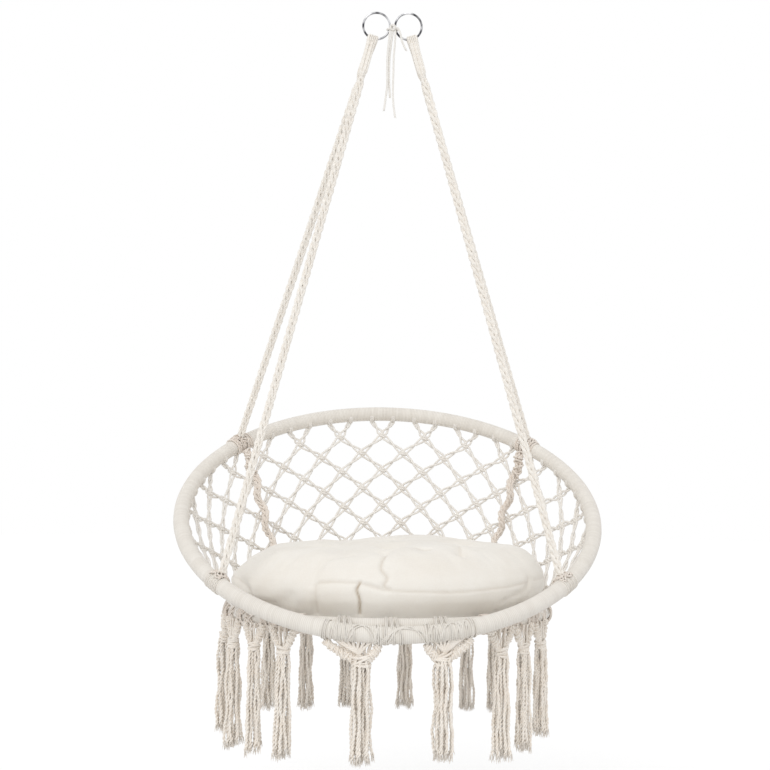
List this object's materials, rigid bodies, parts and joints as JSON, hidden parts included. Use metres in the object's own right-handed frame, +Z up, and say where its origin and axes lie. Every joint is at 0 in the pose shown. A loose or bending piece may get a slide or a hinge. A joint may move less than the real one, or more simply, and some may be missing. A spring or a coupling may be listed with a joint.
{
  "type": "macrame hammock chair",
  "caption": "Hanging round macrame chair: two cord-wrapped hoops joined by a knotted net, rope hangers on steel rings, a tufted round cushion and a tassel fringe.",
  "frame": {"origin": "inner top of the two steel rings, midway between them, where they bear on the hook that carries the chair", "axes": "+Z up, the sitter faces -Y, +X to the viewer's right in the front view"},
  "size_m": [0.8, 0.7027, 1.3543],
  "materials": {
    "steel": "satin",
    "rope": "matte",
    "cotton_cord": "matte",
    "cushion_cloth": "matte",
    "fringe": "matte"
  },
  "bodies": {
    "hanger": {"ring_left": "steel", "ring_right": "steel", "tie_loop": "rope", "tie_knot": "rope", "tie_end_left": "rope", "tie_end_middle": "rope", "tie_end_right": "rope", "tie_end_short": "rope"},
    "frame": {"rope_bight_left": "rope", "rope_bight_right": "rope", "rope_front_left": "rope", "rope_front_right": "rope", "rope_rear_left": "rope", "rope_rear_right": "rope", "rope_knot_front_left": "rope", "rope_knot_front_right": "rope", "rope_knot_rear_left": "rope", "rope_knot_rear_right": "rope", "back_hoop_tube": "steel", "back_hoop_spigot": "steel", "back_hoop_wrap": "cotton_cord", "back_net_upper": "cotton_cord", "back_net_lower": "cotton_cord", "inner_braid_left": "rope", "inner_braid_right": "rope", "side_strap_left": "rope", "side_strap_right": "rope", "front_lashing_left": "rope", "front_lashing_middle": "rope", "front_lashing_right": "rope"},
    "seat": {"seat_hoop_tube": "steel", "seat_hoop_spigot": "steel", "seat_hoop_wrap": "cotton_cord", "seat_net": "cotton_cord"},
    "cushion": {"cushion": "cushion_cloth"},
    "tassel_01": {"tassel_01": "fringe"},
    "tassel_02": {"tassel_02": "fringe"},
    "tassel_03": {"tassel_03": "fringe"},
    "tassel_04": {"tassel_04": "fringe"},
    "tassel_05": {"tassel_05": "fringe"},
    "tassel_06": {"tassel_06": "fringe"},
    "tassel_07": {"tassel_07": "fringe"},
    "tassel_08": {"tassel_08": "fringe"},
    "tassel_09": {"tassel_09": "fringe"},
    "tassel_10": {"tassel_10": "fringe"},
    "tassel_11": {"tassel_11": "fringe"},
    "tassel_12": {"tassel_12": "fringe"},
    "tassel_13": {"tassel_13": "fringe"},
    "tassel_14": {"tassel_14": "fringe"},
    "tassel_15": {"tassel_15": "fringe"}
  },
  "joints": [
    {"name": "chair_swing", "type": "hinge", "parent": "hanger", "child": "frame", "pos_m": [0, 0, -0.04697], "axis": [1, 0, 0], "range_deg": [-25, 25]},
    {"name": "seat_fold", "type": "hinge", "parent": "frame", "child": "seat", "pos_m": [0, -0.31399, -1.12626], "axis": [1, 0, 0], "range_deg": [0, 12], "deforming": ["back_net_lower", "inner_braid_left", "inner_braid_right", "side_strap_left", "side_strap_right", "front_lashing_left", "front_lashing_middle", "front_lashing_right"]},
    {"name": "cushion_lift", "type": "slide", "parent": "seat", "child": "cushion", "axis": [0, 0, 1], "range_m": [0, 0.05]},
    {"name": "tassel_swing_01", "type": "hinge", "parent": "seat", "child": "tassel_01", "pos_m": [-0.29837, -0.04033, -1.12377], "axis": [0.1087, -0.9941, 0], "range_deg": [-25, 25]},
    {"name": "tassel_swing_02", "type": "hinge", "parent": "seat", "child": "tassel_02", "pos_m": [-0.27756, -0.11715, -1.12377], "axis": [0.4149, -0.9099, 0], "range_deg": [-25, 25]},
    {"name": "tassel_swing_03", "type": "hinge", "parent": "seat", "child": "tassel_03", "pos_m": [-0.23679, -0.18605, -1.12377], "axis": [0.6016, -0.7988, 0], "range_deg": [-25, 25]},
    {"name": "tassel_swing_04", "type": "hinge", "parent": "seat", "child": "tassel_04", "pos_m": [-0.18575, -0.23709, -1.12377], "axis": [0.7988, -0.6016, 0], "range_deg": [-25, 25]},
    {"name": "tassel_swing_05", "type": "hinge", "parent": "frame", "child": "tassel_05", "pos_m": [-0.05504, -0.30785, -1.14198], "axis": [0.9858, -0.1515, -0.0721], "range_deg": [-25, 25]},
    {"name": "tassel_swing_06", "type": "hinge", "parent": "frame", "child": "tassel_06", "pos_m": [0.08071, -0.30475, -1.14], "axis": [0.9731, 0.2063, 0.103], "range_deg": [-25, 25]},
    {"name": "tassel_swing_07", "type": "hinge", "parent": "seat", "child": "tassel_07", "pos_m": [0.18575, -0.23709, -1.12377], "axis": [0.7988, 0.6016, 0], "range_deg": [-25, 25]},
    {"name": "tassel_swing_08", "type": "hinge", "parent": "seat", "child": "tassel_08", "pos_m": [0.22882, -0.19554, -1.12377], "axis": [0.6528, 0.7575, 0], "range_deg": [-25, 25]},
    {"name": "tassel_swing_09", "type": "hinge", "parent": "seat", "child": "tassel_09", "pos_m": [0.26545, -0.14211, -1.12377], "axis": [0.4538, 0.8911, 0], "range_deg": [-25, 25]},
    {"name": "tassel_swing_10", "type": "hinge", "parent": "seat", "child": "tassel_10", "pos_m": [0.22404, 0.20064, -1.12377], "axis": [-0.6822, 0.7312, 0], "range_deg": [-25, 25]},
    {"name": "tassel_swing_11", "type": "hinge", "parent": "seat", "child": "tassel_11", "pos_m": [0.17269, 0.24633, -1.12377], "axis": [-0.8191, 0.5736, 0], "range_deg": [-25, 25]},
    {"name": "tassel_swing_12", "type": "hinge", "parent": "seat", "child": "tassel_12", "pos_m": [0.04979, 0.29635, -1.12377], "axis": [-0.987, 0.1607, 0], "range_deg": [-25, 25]},
    {"name": "tassel_swing_13", "type": "hinge", "parent": "seat", "child": "tassel_13", "pos_m": [-0.07071, 0.29245, -1.12377], "axis": [-0.9659, -0.2588, 0], "range_deg": [-25, 25]},
    {"name": "tassel_swing_14", "type": "hinge", "parent": "seat", "child": "tassel_14", "pos_m": [-0.15469, 0.25771, -1.12377], "axis": [-0.8526, -0.5226, 0], "range_deg": [-25, 25]},
    {"name": "tassel_swing_15", "type": "hinge", "parent": "seat", "child": "tassel_15", "pos_m": [-0.22882, 0.19494, -1.12377], "axis": [-0.6528, -0.7575, 0], "range_deg": [-25, 25]}
  ]
}
